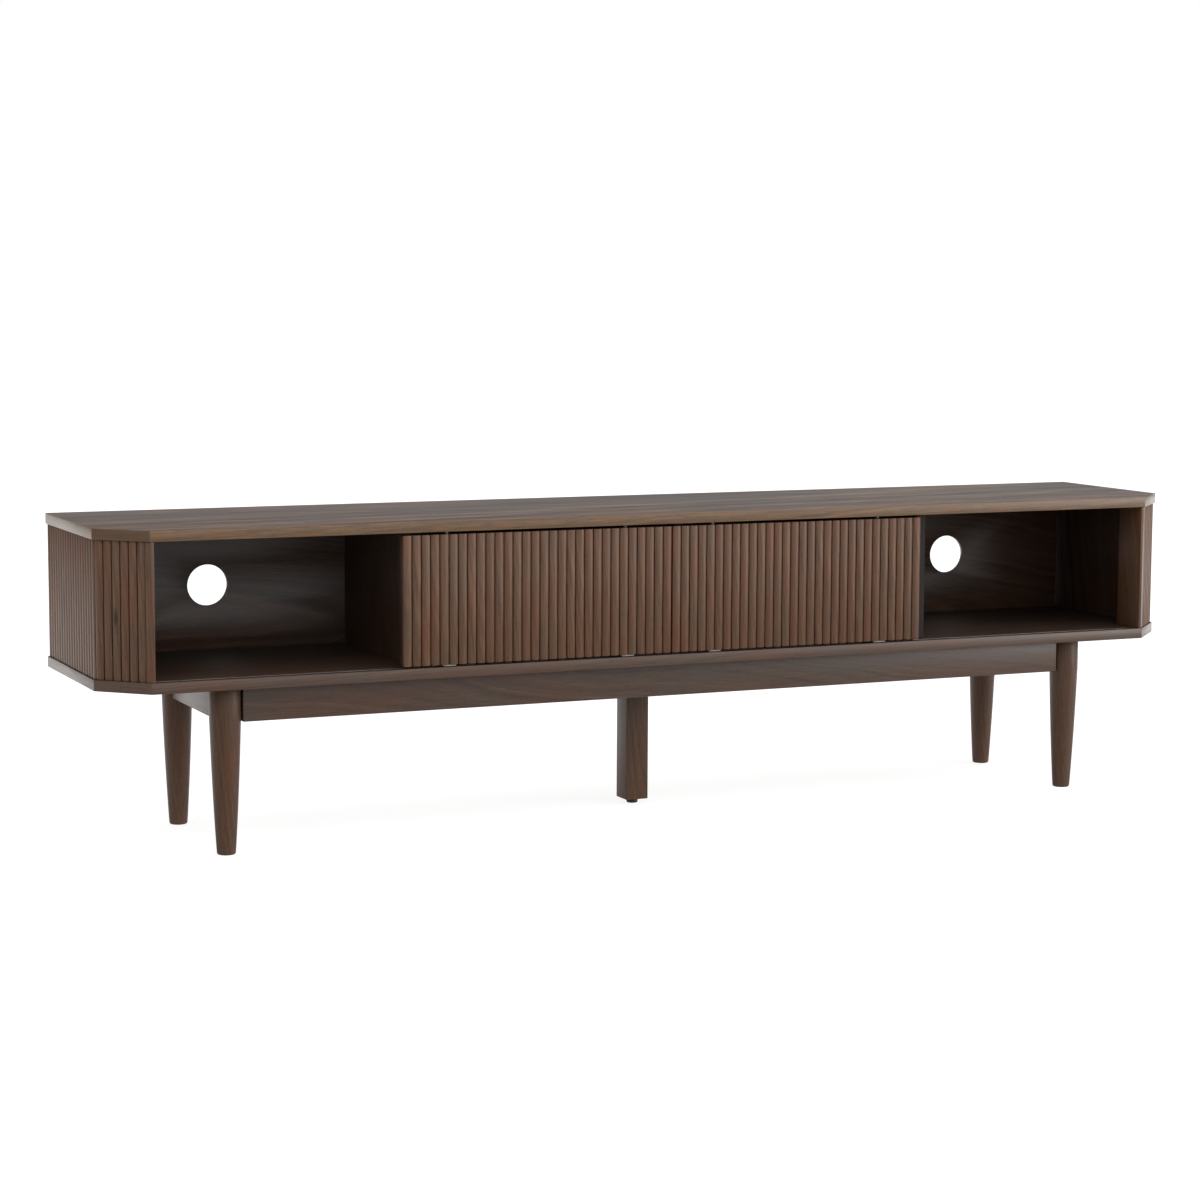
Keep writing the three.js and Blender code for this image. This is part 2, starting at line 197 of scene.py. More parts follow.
def wood(name, dark, middle, light, reddish, greyish, ring=5.0, figure=0.5, blotch_size=90,
         fibre=(70, 1.6), spread=0.2, gloss=(0.34, 0.46), tone_spread=0.0, ior=1.5, knot=None):
    """Stained wood. Sizes are in millimetres, a fibre or a knot is (length, width), and a small spread
    sets the dark and light streaks off more sharply."""
    material, tree = new_material(name)
    grain = add_node(tree, "ShaderNodeAttribute", attribute_name="grain").outputs["Vector"]

    # Four noises stretched along the grain. Fibres and pores are drawn in bundles, a few times coarser
    # than single ones, which would be too fine to see from where the camera stands.
    patterns = []
    for length, width, shift, detail, roughness in (
            (520, 95, (0, 0, 0), 1.5, 0.5),
            (*fibre, (0, 0, 0), 3, 0.6),
            (11, 0.8, (3, 7, 1), 1, 0.5),
            (blotch_size * 2.4, blotch_size, (11, 5, 2), 2.5, 0.5)):
        place = add_node(tree, "ShaderNodeMapping", {
            "Vector": grain, "Location": shift, "Scale": per_mm(length, width, width)})
        patterns.append(add_node(tree, "ShaderNodeTexNoise", {
            "Vector": place, "Scale": 1.0, "Detail": detail, "Roughness": roughness}))
    drift, fibres, pores, blotches = patterns

    # Growth rings: a noise of the distance from the pith, which is tilted both ways and wanders a little.
    wander = add_node(tree, "ShaderNodeVectorMath", {0: drift.outputs["Color"], 1: PITH_WANDER, 2: grain},
                      operation="MULTIPLY_ADD")
    tilted = add_node(tree, "ShaderNodeMapping", {
        "Vector": wander, "Location": PITH_PLACE, "Rotation": PITH_TILT})
    flat = add_node(tree, "ShaderNodeVectorMath", {0: tilted, 1: (0, 1, 1)}, operation="MULTIPLY")
    radius = add_node(tree, "ShaderNodeVectorMath", {0: flat}, operation="LENGTH")
    rings = add_node(tree, "ShaderNodeTexNoise", {
        "W": radius, "Scale": 1 / (ring * MM), "Detail": 1.5, "Roughness": 0.55}, noise_dimensions="1D")

    # The colour: rings and fibres together, then the stain's red and grey blotches.
    figured = add_node(tree, "ShaderNodeMix", {0: figure, 2: fibres, 3: rings})
    tint = add_node(tree, "ShaderNodeValToRGB", {"Fac": figured},
                    stops=[(0.5 - spread, dark), (0.5, middle), (0.5 + spread, light)])
    for stain, least, most, strength in ((reddish, 0.50, 0.72, 0.75), (greyish, 0.50, 0.30, 0.65)):
        share = add_node(tree, "ShaderNodeMapRange", {
            "Value": blotches, "From Min": least, "From Max": most, "To Max": strength})
        tint = add_node(tree, "ShaderNodeMix", {0: share, 6: tint, 7: colour(stain)}, data_type="RGBA")

    # Strips with a low tone turn redder and darker, and strips with a high one paler.
    if tone_spread:
        tone = add_node(tree, "ShaderNodeAttribute", attribute_name="tone").outputs["Fac"]
        share = add_node(tree, "ShaderNodeMapRange", {
            "Value": tone, "From Min": 0.4, "From Max": 0.0, "To Max": 0.5})
        tint = add_node(tree, "ShaderNodeMix", {0: share, 6: tint, 7: colour(reddish)}, data_type="RGBA")
        value = add_node(tree, "ShaderNodeMapRange", {
            "Value": tone, "To Min": 1 - tone_spread, "To Max": 1 + tone_spread})
        tint = add_node(tree, "ShaderNodeHueSaturation", {"Color": tint, "Value": value})

    # A knot is a dark spot round one place, which is set once the strip that has it is laid.
    if knot:
        length, width = knot
        from_knot = add_node(tree, "ShaderNodeVectorMath", {0: grain}, operation="SUBTRACT",
                             name="knot_place")
        spot = add_node(tree, "ShaderNodeVectorMath", {0: from_knot, 1: per_mm(length, width, width)},
                        operation="MULTIPLY")
        reach = add_node(tree, "ShaderNodeVectorMath", {0: spot}, operation="LENGTH")
        share = add_node(tree, "ShaderNodeMapRange", {
            "Value": reach, "From Min": 0.3, "From Max": 1.3, "To Min": 0.85, "To Max": 0.0})
        tint = add_node(tree, "ShaderNodeMix", {0: share, 6: tint, 7: colour(KNOT_COLOUR)},
                        data_type="RGBA")

    # Pores darken the colour and are dents in the lacquer, and the fibres stand up a little.
    pore_marks = add_node(tree, "ShaderNodeMapRange", {"Value": pores, "From Min": 0.60, "From Max": 0.70})
    share = add_node(tree, "ShaderNodeMath", {0: pore_marks, 1: PORE_DARKNESS}, operation="MULTIPLY")
    tint = add_node(tree, "ShaderNodeMix", {0: share, 6: tint, 7: colour(dark)},
                    data_type="RGBA", blend_type="MULTIPLY")
    relief = add_node(tree, "ShaderNodeMath", {0: pore_marks, 1: -0.6, 2: fibres},
                      operation="MULTIPLY_ADD")
    bump = add_node(tree, "ShaderNodeBump", {"Height": relief, "Strength": 0.25, "Distance": RELIEF})
    roughness = add_node(tree, "ShaderNodeMapRange", {
        "Value": fibres, "From Min": 0.3, "From Max": 0.7, "To Min": gloss[0], "To Max": gloss[1]})
    shader = add_node(tree, "ShaderNodeBsdfPrincipled", {
        "Base Color": tint, "Roughness": roughness, "Normal": bump, "IOR": ior})
    add_node(tree, "ShaderNodeOutputMaterial", {"Surface": shader})
    return material


print("wood shader ready, with pores", PORE_DARKNESS, "dark")

# %% [markdown]
# ## The wooden finishes
# The top is a wide veneer, so its figure is broad and a little grey, with long streaks. The edge strips,
# reeds, legs and rails are solid wood, each cut another way: the strips are the yellowest and change tone
# from one to the next, the reeds are narrow pieces with small blotches and one knot, and the rails and legs
# are plain. Inside and under the case, the veneer is painted darker as shade and is more matt, the back
# panel keeps a deeper gloss, and the partitions' front edges are painted nearly black as shade. One
# function with the right numbers mixes them all.

# %% Mix the wooden finishes
TOP_VENEER = wood("walnut_veneer_satin_lacquer", "#2e221b", "#5a493f", "#846e60", "#604a3d", "#594e47",
                  ring=22, figure=0.3, blotch_size=70, fibre=(360, 15), spread=0.12, gloss=(0.28, 0.46))
EDGE_STRIP = wood("walnut_edge_strip_satin_lacquer", "#4d3928", "#654d38", "#7c6346", "#6e4c30", "#5a4736",
                  ring=6, figure=0.35, blotch_size=16, tone_spread=0.32)
REED_WOOD = wood("walnut_reed_satin_lacquer", "#442c1f", "#5e422f", "#725740", "#66402c", "#584536",
                 ring=5, figure=0.35, blotch_size=40, gloss=(0.4, 0.52), tone_spread=0.06, ior=1.42,
                 knot=(16, 4))
RAIL_WOOD = wood("walnut_rail_satin_lacquer", "#3c2c24", "#513d31", "#604a3b", "#583b2d", "#4c4138",
                 ring=6, figure=0.4, blotch_size=60)
LEG_WOOD = wood("turned_walnut_satin_lacquer", "#3a271b", "#4f3626", "#5f442f", "#573521", "#4a3828",
                ring=5, figure=0.4, blotch_size=45, gloss=(0.4, 0.52), ior=1.4)
# The inside veneer is a darker copy of the walnut veneer: painted shade for the insides and underside of the
# case.
SHADED_INNER_VENEER = wood("walnut_veneer_inside_painted_shade", "#261a13", "#3c2a20", "#4d3a2d", "#432b1f", "#382c25",
                    ring=9, figure=0.6, blotch_size=110, gloss=(0.5, 0.6), ior=1.42)
PANEL_VENEER = wood("walnut_veneer_back_panel_satin", "#2a1c14", "#4a3529", "#62493a", "#4e3528", "#463931",
                    ring=6, figure=0.5, blotch_size=110, fibre=(45, 2.4), gloss=(0.36, 0.44), ior=1.62)
# Nearly black: painted shade for the partitions' front edges beside the doors.
PAINTED_SHADE_EDGE = wood("walnut_edge_painted_shade", "#120c08", "#1d130e", "#291b14", "#22140d", "#1b1512",
                 ring=6, figure=0.35, blotch_size=16, gloss=(0.5, 0.6), ior=1.35)
woods = [TOP_VENEER, EDGE_STRIP, REED_WOOD, RAIL_WOOD, LEG_WOOD, SHADED_INNER_VENEER, PANEL_VENEER, PAINTED_SHADE_EDGE]
print("woods:", [m.name for m in woods])

# %% [markdown]
# ## Plastics and metals
# The rollers, their forks and the guide pins are moulded grey nylon, which is slightly waxy. The tracks are
# anodised aluminium, drawn through a die, so fine lines run along them. Bolts, axles and the threaded
# insert are zinc-plated steel with a faint cloudy plating, and the glide is black moulded plastic with a
# fine grain from its mould.

# %% Mix the plastics and metals
def speckled(name, first, second, grit, roughness, metallic=0.0, stretch=(1, 1, 1), relief=0.02, ior=1.5):
    """A moulded or plated surface: two close shades in specks of so many millimetres."""
    material, tree = new_material(name)
    place = add_node(tree, "ShaderNodeTexCoord").outputs["Object"]
    steps = [s / (grit * MM) for s in stretch]
    specks = add_node(tree, "ShaderNodeMapping", {"Vector": place, "Scale": steps})
    cloud = add_node(tree, "ShaderNodeTexNoise", {
        "Vector": specks, "Scale": 1.0, "Detail": 3, "Roughness": 0.6})
    tint = add_node(tree, "ShaderNodeValToRGB", {"Fac": cloud}, stops=[(0.35, first), (0.65, second)])
    bump = add_node(tree, "ShaderNodeBump", {"Height": cloud, "Strength": 0.3, "Distance": relief * MM})
    sheen = add_node(tree, "ShaderNodeMapRange", {
        "Value": cloud, "From Min": 0.3, "From Max": 0.7,
        "To Min": roughness - 0.06, "To Max": roughness + 0.06})
    shader = add_node(tree, "ShaderNodeBsdfPrincipled", {
        "Base Color": tint, "Metallic": metallic, "Roughness": sheen, "Normal": bump, "IOR": ior})
    add_node(tree, "ShaderNodeOutputMaterial", {"Surface": shader})
    return material


NYLON = speckled("moulded_grey_nylon", "#85857f", "#94948d", 1.5, 0.42, ior=1.53)
ALUMINIUM = speckled("anodised_aluminium", "#8b8b8a", "#a3a2a0", 0.6, 0.34, 1.0, stretch=(0.02, 1, 1))
STEEL = speckled("zinc_plated_steel", "#a9aba8", "#c2c1b8", 4, 0.28, 1.0)
BLACK_PLASTIC = speckled("moulded_black_plastic", "#141414", "#1d1d1c", 0.8, 0.5, relief=0.05)
print("others:", [m.name for m in (NYLON, ALUMINIUM, STEEL, BLACK_PLASTIC)])

# %% [markdown]
# ## Modelling helpers
# These are the moves of a person at the bench: deselect everything, put a block or a disc down at its size,
# pick faces or edges by where they are, round the arrises, and cut with another shape. A piece is handed
# over to its CAD node when it is done: it rides on that node's body and stands in for it.

# %% Selecting, blocks, rounding and cutting
def activate(piece):
    """Deselects everything, then selects this piece and makes it the active one."""
    if bpy.context.mode != "OBJECT":
        bpy.ops.object.mode_set(mode="OBJECT")
    bpy.ops.object.select_all(action="DESELECT")
    piece.select_set(True)
    bpy.context.view_layer.objects.active = piece


def edit(piece):
    activate(piece)
    bpy.ops.object.mode_set(mode="EDIT")
    bpy.ops.mesh.select_all(action="SELECT")


def pick(piece, kind, test):
    """In edit mode, selects only the FACE, EDGE or VERT elements that pass the test."""
    bpy.ops.mesh.select_mode(type=kind)
    bpy.ops.mesh.select_all(action="DESELECT")
    shape = bmesh.from_edit_mesh(piece.data)
    parts = {"FACE": shape.faces, "EDGE": shape.edges, "VERT": shape.verts}[kind]
    for part in [p for p in parts if test(p)]:
        part.select_set(True)
    bmesh.update_edit_mesh(piece.data)


def done(piece, smooth_angle=35):
    """Leaves edit mode, puts the piece's place into its mesh and smooths its round faces."""
    activate(piece)
    bpy.ops.object.transform_apply(location=True, rotation=True, scale=True)
    bpy.ops.object.shade_smooth_by_angle(angle=radians(smooth_angle))
    return piece


def block(name, low, high):
    """A box between two corners."""
    if bpy.context.object:
        activate(bpy.context.object)
    bpy.ops.object.select_all(action="DESELECT")
    low, high = Vector(low), Vector(high)
    bpy.ops.mesh.primitive_cube_add(size=1, location=(low + high) / 2)
    piece = bpy.context.object
    piece.name = piece.data.name = name
    piece.scale = high - low
    bpy.ops.object.transform_apply(location=True, rotation=True, scale=True)
    return piece


def rod(name, radius, low, high, sides=32):
    """A round bar between two heights, standing on the Z axis."""
    bpy.ops.object.select_all(action="DESELECT")
    bpy.ops.mesh.primitive_cylinder_add(
        vertices=sides, radius=radius, depth=high - low, location=(0, 0, (low + high) / 2))
    piece = bpy.context.object
    piece.name = piece.data.name = name
    bpy.ops.object.transform_apply(location=True, rotation=True, scale=True)
    return piece


def turned(name, outline, sides=48):
    """A turned piece about Z: a disc is extruded up ring by ring. The outline is (radius, height) pairs."""
    bpy.ops.object.select_all(action="DESELECT")
    radius, height = outline[0]
    bpy.ops.mesh.primitive_circle_add(
        vertices=sides, radius=radius, fill_type="NGON", location=(0, 0, height))
    piece = bpy.context.object
    piece.name = piece.data.name = name
    bpy.ops.object.transform_apply(location=True, rotation=True, scale=True)
    edit(piece)
    for next_radius, next_height in outline[1:]:
        rise = {"value": (0, 0, next_height - height)}
        bpy.ops.mesh.extrude_region_move(TRANSFORM_OT_translate=rise)
        share = next_radius / radius
        bpy.ops.transform.resize(value=(share, share, 1), center_override=(0, 0, next_height))
        radius, height = next_radius, next_height
    bpy.ops.mesh.select_all(action="SELECT")
    bpy.ops.mesh.normals_make_consistent(inside=False)
    activate(piece)
    return piece


def bisect(piece, point, normal):
    """Cuts away what lies beyond a plane and closes the cut."""
    edit(piece)
    bpy.ops.mesh.bisect(plane_co=point, plane_no=normal, use_fill=True, clear_outer=True)
    activate(piece)


def soften(piece, radius, segments=2, angle=40):
    """Rounds the edges that are sharper than the angle, in degrees."""
    activate(piece)
    bpy.ops.object.modifier_add(type="BEVEL")
    rounding = piece.modifiers[-1]
    rounding.width = radius
    rounding.segments = segments
    rounding.limit_method = "ANGLE"
    rounding.angle_limit = radians(angle)
    bpy.ops.object.modifier_apply(modifier=rounding.name)


def cut(piece, *cutters):
    """Takes each cutter's shape out of the piece, and throws the cutter away."""
    for cutter in cutters:
        activate(piece)
        bpy.ops.object.modifier_add(type="BOOLEAN")
        saw = piece.modifiers[-1]
        saw.operation = "DIFFERENCE"
        saw.object = cutter
        bpy.ops.object.modifier_apply(modifier=saw.name)
        bpy.data.objects.remove(cutter)


def merged_copy(node, name):
    """A copy of a CAD node's own shape, its loose triangles merged into whole faces."""
    piece = NODES[node].copy()
    piece.data = NODES[node].data.copy()
    piece.parent = None
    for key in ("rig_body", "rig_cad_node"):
        del piece[key]
    piece.data.materials.clear()
    piece.name = piece.data.name = name
    bpy.context.scene.collection.objects.link(piece)
    edit(piece)
    bpy.ops.mesh.remove_doubles(threshold=0.002 * MM)
    bpy.ops.mesh.customdata_custom_splitnormals_clear()
    bpy.ops.mesh.dissolve_limited(angle_limit=radians(0.5))
    activate(piece)
    return piece


def duplicate(piece, name):
    """Another one just like it, with its own mesh."""
    copy = piece.copy()
    copy.data = piece.data.copy()
    copy.name = copy.data.name = name
    bpy.context.scene.collection.objects.link(copy)
    return copy


def join(name, pieces):
    """Makes one piece of several."""
    activate(pieces[0])
    for piece in pieces:
        piece.select_set(True)
    bpy.ops.object.join()
    joined = bpy.context.object
    joined.name = joined.data.name = name
    return joined


def hand_over(piece, node):
    """The piece rides on the node's body and stands for the node."""
    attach(piece, BODY_OF[node])
    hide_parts(node)
    return piece


print("helpers ready")

# %% [markdown]
# ## Laying the grain
# The wood pattern follows the grain attribute, so each piece has it written once its shape is final. It
# could be a UV map, but a board is solid: the grain on its end has to be the same tree as on its face. Edge
# strips are the exception, because their fibres run along whichever edge they cover, so their faces get a
# direction of their own.

# %% Write the grain attribute
X, Y, Z = Vector((1, 0, 0)), Vector((0, 1, 0)), Vector((0, 0, 1))
laid = []
grain_starts = {}


def place_in_tree(number):
    """Another part of the tree for each piece, always the same for the same number."""
    return Vector((0.83 * number, 0.137 * (number % 7), 0.029 * (number % 5)))


def lay_grain(piece, along, tone=lambda face: 0.5, strip=None, start=None):
    """Writes each corner's place along, across and into the wood. Faces of the strip material run level,
    along their own edge. Tone takes a face and gives 0 for dark red to 1 for pale."""
    laid.append(piece.name)
    start = start or place_in_tree(len(laid))
    grain_starts[piece.name] = start
    across = X if abs(along.z) > 0.5 else along.cross(Z)
    into = along.cross(across)
    mesh = piece.data
    grain = mesh.attributes.new("grain", "FLOAT_VECTOR", "CORNER")
    for face in mesh.polygons:
        a, b, c = along, across, into
        if strip is not None and face.material_index == strip:
            a = face.normal.cross(Z).normalized()
            b, c = Z, face.normal
        for corner in face.loop_indices:
            place = mesh.vertices[mesh.loops[corner].vertex_index].co
            grain.data[corner].vector = start + Vector((a.dot(place), b.dot(place), c.dot(place)))
    shades = mesh.attributes.new("tone", "FLOAT", "FACE")
    shades.data.foreach_set("value", [tone(face) for face in mesh.polygons])


def paint(piece, *materials):
    piece.data.materials.clear()
    for material in materials:
        piece.data.materials.append(material)


print("the third piece starts at", [round(x, 3) for x in place_in_tree(3)], "in its tree")

# %% [markdown]
# ## The two long boards
# Each board is a veneered panel with its two front corners cut at 45 degrees and solid strips glued round
# its edges. An outline could be extruded, but a joiner starts from a rectangle: here a block is cut across
# at each corner. The arrises are rounded by less than a millimetre, just enough to catch a thin line
# of light, and the groove for the track is cut last, so it stays crisp. Then each face gets the top
# veneer, the edge strip or the inner veneer painted dark as shade, by where it is and which way it looks.

# %% Cut and veneer the boards
board_low, board_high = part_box("top_board")
front_y = board_low.y
square_end = max(v.co.x for v in NODES["top_board"].data.vertices if v.co.y < front_y + 0.1 * MM)
CORNER_CUT = board_high.x - square_end
ARRIS = 0.8 * MM
TRACK_CLEARANCE = 0.3 * MM
GROOVE_OVERSHOOT = 5 * MM
GROOVE_ZONE = 6 * MM
track_low, track_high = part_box("bottom_track")
TRACK_MIDDLE = (track_low.y + track_high.y) / 2
CORNER_TONE, FRONT_TONE = 0.0, 0.64


def edge_tone(face):
    """The strips on the angled corners are darker and redder than those on the front."""
    angled = abs(face.normal.x) > 0.3 and abs(face.normal.y) > 0.3
    return CORNER_TONE if angled else FRONT_TONE


def make_board(node, track):
    low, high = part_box(node)
    board = block("finished_" + node, low, high)
    for side in (-1, 1):
        corner = (side * (high.x - CORNER_CUT), low.y, 0)
        bisect(board, corner, (side, -1, 0))
    soften(board, ARRIS)
    groove_low, groove_high = (Vector(v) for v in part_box(track))
    reach = Vector((TRACK_CLEARANCE,) * 3)
    groove_low -= reach
    groove_high += reach
    if node == "bottom_board":
        groove_high.z = high.z + GROOVE_OVERSHOOT
    else:
        groove_low.z = low.z - GROOVE_OVERSHOOT
    cut(board, block("groove", groove_low, groove_high))
    done(board)
    paint(board, TOP_VENEER, EDGE_STRIP if node == "top_board" else RAIL_WOOD, SHADED_INNER_VENEER)
    # Faces that are neither edges nor the top's upper face take the inner veneer, painted dark as shade.
    for face in board.data.polygons:
        on_edge = abs(face.normal.z) < 0.6 and abs(face.center.y - TRACK_MIDDLE) > GROOVE_ZONE
        on_top = node == "top_board" and face.normal.z > 0
        face.material_index = 1 if on_edge else 0 if on_top else 2
    lay_grain(board, X, tone=edge_tone, strip=1)
    return hand_over(board, node)


top = make_board("top_board", "top_track")
bottom = make_board("bottom_board", "bottom_track")
print("corner cut", round(CORNER_CUT / MM, 1), "mm; faces in the top:", len(top.data.polygons))

# %% [markdown]
# ## Partitions and back panel
# The partitions are plain veneered boards that stop behind the doors. Their sides are painted dark as the
# shade inside the bays, and their front edges are painted nearly black as shade, so that nothing pale shows
# beside a door. The back panel has two round holes for cables, and their rims are eased so that they don't
# chafe a plug lead. A boolean cut with a cylinder is how a hole saw does it.

# %% Partitions and back panel
EASED = 0.5 * MM
for side in ("left", "centre", "right"):
    node = side + "_partition"
    partition = done(block("finished_" + node, *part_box(node)))
    soften(partition, EASED)
    paint(partition, SHADED_INNER_VENEER, PAINTED_SHADE_EDGE)
    # The sides keep the inner veneer, painted dark as shade, and faces that look to the front are the front
    # edges, painted nearly black as shade.
    for face in partition.data.polygons:
        face.material_index = int(face.normal.y < -0.7)
    lay_grain(partition, Z)
    hand_over(partition, node)

CABLE_HOLE_RADIUS = 35 * MM
SAW_DEPTH = 30 * MM
PANEL_PITH = Vector((0, 264 * MM, 253 * MM))  # brings the arches of the figure low into the left bay
panel = block("finished_back_panel", *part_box("back_panel"))
for opening in frame["record"]["physics"]["openings"]:
    if opening["name"].endswith("cable_hole"):
        hole_low, hole_high = (Vector(v) for v in opening["box_m"])
        saw = rod("hole_saw", CABLE_HOLE_RADIUS, -SAW_DEPTH, SAW_DEPTH, 64)
        saw.matrix_world = Matrix.Translation((hole_low + hole_high) / 2) @ Matrix.Rotation(pi / 2, 4, "X")
        bpy.context.view_layer.update()
        cut(panel, saw)
soften(panel, EASED)
done(panel)
paint(panel, PANEL_VENEER)
lay_grain(panel, X, start=PANEL_PITH)
hand_over(panel, "back_panel")
print("back panel faces:", len(panel.data.polygons))

# %% [markdown]
# ## One reed
# A reed is a narrow strip with a rounded front, about 15 mm wide, that a spindle moulder runs off by the
# metre. The curve is a slice of a cylinder, so a cylinder is where it starts: the sides and back are
# sawn off it, which leaves a strip with a gently domed face. One cutter makes them all, so a narrower
# reed is also a flatter one. Each width is modelled once, standing at the origin with its crest at y = 0
# and facing the front.

# %% Model one reed
REED_CURVE = 10.6 * MM
REED_END_ROUNDING = 0.6 * MM
slats_low, slats_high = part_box("left_door_slats")
REED_THICKNESS = slats_high.y - slats_low.y


def make_reed(width, low, high):
    half = width / 2
    reed = rod("reed", REED_CURVE, low, high, 96)
    reed.location.y = REED_CURVE
    activate(reed)
    bpy.ops.object.transform_apply(location=True)
    bisect(reed, (half, 0, 0), (1, 0, 0))
    bisect(reed, (-half, 0, 0), (-1, 0, 0))
    bisect(reed, (0, REED_THICKNESS, 0), (0, 1, 0))
    edit(reed)
    pick(reed, "EDGE", lambda e: abs(e.verts[0].co.z - e.verts[1].co.z) < MM and e.calc_face_angle() > 1)
    bpy.ops.mesh.bevel(offset=REED_END_ROUNDING, segments=2)
    return done(reed)


print("reeds are", round(REED_THICKNESS / MM, 1), "mm thick, bent to", round(REED_CURVE / MM, 1), "mm")

# %% [markdown]
# ## Walls of reeds
# Reeds stand side by side on the ends, on the angled corners and on the doors. Each wall takes copies of
# one reed, each with its own mesh, grain and tone, and joins them into the one glued-up skin that they
# are. A wall is told where it starts, which way it runs and which way it faces. The gaps are a little
# wider on the ends, which are seen at a slant, so that their dark lines still show. The tones come from a
# short sum, not from chance, so they are the same each time.

# %% Stand reeds along a wall
REED_GAP = 1.6 * MM
END_REED_GAP = 3.0 * MM
strip_middles = {}


def reed_tone(number):
    """A tone between 0 and 1 that looks random from strip to strip."""
    return (sin(number * 12.9898) * 43758.5453) % 1


def make_reed_wall(node, start, run, facing, length, count, gap=REED_GAP):
    """Reeds from start along run, a unit vector in plan. Facing is the turn from the front, in radians."""
    low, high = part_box(node)
    pitch = (length + gap) / count
    reed = make_reed(pitch - gap, low.z, high.z)
    strips = []
    for number in range(count):
        middle = start + run * (pitch * (number + 0.5) - gap / 2)
        strip = duplicate(reed, f"{node}_strip_{number}")
        strip_middles[strip.name] = middle
        strip.matrix_world = Matrix.Translation((middle.x, middle.y, 0)) @ Matrix.Rotation(facing, 4, "Z")
        activate(strip)
        bpy.ops.object.transform_apply(location=True, rotation=True, scale=True)
        shade_of_strip = reed_tone(number + len(laid))
        lay_grain(strip, Z, tone=lambda face: shade_of_strip)
        strips.append(strip)
    bpy.data.objects.remove(reed)
    wall = join("finished_" + node, strips)
    paint(wall, REED_WOOD)
    return hand_over(wall, node)


DOOR_REEDS = 30
for side in ("left", "right"):
    node = side + "_door_slats"
    low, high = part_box(node)
    wall = make_reed_wall(node, Vector((low.x, low.y)), Vector((1, 0)), 0, high.x - low.x, DOOR_REEDS)
print("faces in a door's wall:", len(wall.data.polygons))

# %% [markdown]
# The end wall and the angled wall meet at 135 degrees on a mitre. The point where their crests meet
# follows from the board: the reeds stand a few millimetres in from its edge all the way round.

# %% End walls and angled corner walls
END_REEDS = 19
CORNER_REEDS = 6
for side, sign in (("left", -1), ("right", 1)):
    end_low, end_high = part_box(side + "_end_slats")
    crest_x = max(abs(end_low.x), abs(end_high.x))
    inset = board_high.x - crest_x
    meeting = Vector((sign * crest_x, front_y + CORNER_CUT + tan(pi / 8) * inset))
    make_reed_wall(side + "_end_slats", Vector((meeting.x, end_low.y)), Vector((0, 1)),
                   sign * pi / 2, end_high.y - end_low.y, END_REEDS, END_REED_GAP)

    stile_low, stile_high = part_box(side + "_corner_stile")
    lip = max(abs(stile_low.x), abs(stile_high.x))
    first = end_low.y - meeting.y
    last = (crest_x - lip) / cos(pi / 4) - REED_GAP
    slant = Vector((-sign, -1)).normalized()
    make_reed_wall(side + "_corner_slats", meeting + slant * first, slant,
                   sign * pi / 4, last - first, CORNER_REEDS)
print("crests meet at", [round(x, 4) for x in meeting])

# %% [markdown]
# One reed on the left corner has a small dark knot. The shader already holds a spot of its size, so all
# that is left is to say where it is: on the middle of that reed, in the coordinates of its own grain.

# %% Place the knot
KNOT_STRIP = "left_corner_slats_strip_2"
KNOT_HEIGHT = 391 * MM
knot_x, knot_y = strip_middles[KNOT_STRIP]
knot = REED_WOOD.node_tree.nodes["knot_place"]
knot.inputs[1].default_value = grain_starts[KNOT_STRIP] + Vector((KNOT_HEIGHT, knot_x, knot_y))
print("knot at", [round(x, 3) for x in (knot_x, knot_y, KNOT_HEIGHT)])

# %% [markdown]
# ## Stiles and backing boards
# The stile that ends each angled corner is a thin upright board with its front edge planed in line with
# the reeds. Behind the reeds are flat backing boards, and behind the doors' reeds are the door panels with
# their pockets for the rollers. These outlines are exact in CAD already, so each is a merged copy of
# its node with its edges eased.

# %% Copy and ease the flat pieces
def make_eased(node, rounding, along, material, segments=2):
    piece = merged_copy(node, "finished_" + node)
    soften(piece, rounding, segments)
    done(piece)
    paint(piece, material)
    if along is not None:
        lay_grain(piece, along)
    return hand_over(piece, node)


# The backing boards and door panels take the inner veneer, painted dark as shade.
for side in ("left", "right"):
    make_eased(side + "_corner_stile", 0.6 * MM, Z, REED_WOOD)
    make_eased(side + "_end_board", 0.3 * MM, Z, SHADED_INNER_VENEER)
    make_eased(side + "_corner_board", 0.3 * MM, Z, SHADED_INNER_VENEER)
    make_eased(side + "_door_panel", 0.4 * MM, Z, SHADED_INNER_VENEER, 1)
print("pieces with grain so far:", len(laid))

# %% [markdown]
# ## Legs
# A leg is turned on a lathe from one square blank: straight where it meets the rails, then a taper that
# swells a little before it narrows to the foot, whose rim is rounded. A profile could be spun, but
# extruding a disc ring by ring and resizing each ring follows the formula more plainly. It is made once
# and copied to the four corners.

# %% Turn one leg
leg_low, leg_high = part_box("left_front_leg")
LEG_TOP_RADIUS = (leg_high.x - leg_low.x) / 2
LEG_FOOT_RADIUS = 15.25 * MM
TAPER_HEIGHT = 220 * MM
FOOT_ROUNDING = 3 * MM
TAPER_RINGS = 22
SWELL = 0.36


def leg_radius(height):
    """The radius at a height, a slightly swelling taper."""
    t = min(height / TAPER_HEIGHT, 1)
    return LEG_FOOT_RADIUS + (LEG_TOP_RADIUS - LEG_FOOT_RADIUS) * ((1 + SWELL) * t - SWELL * t * t)


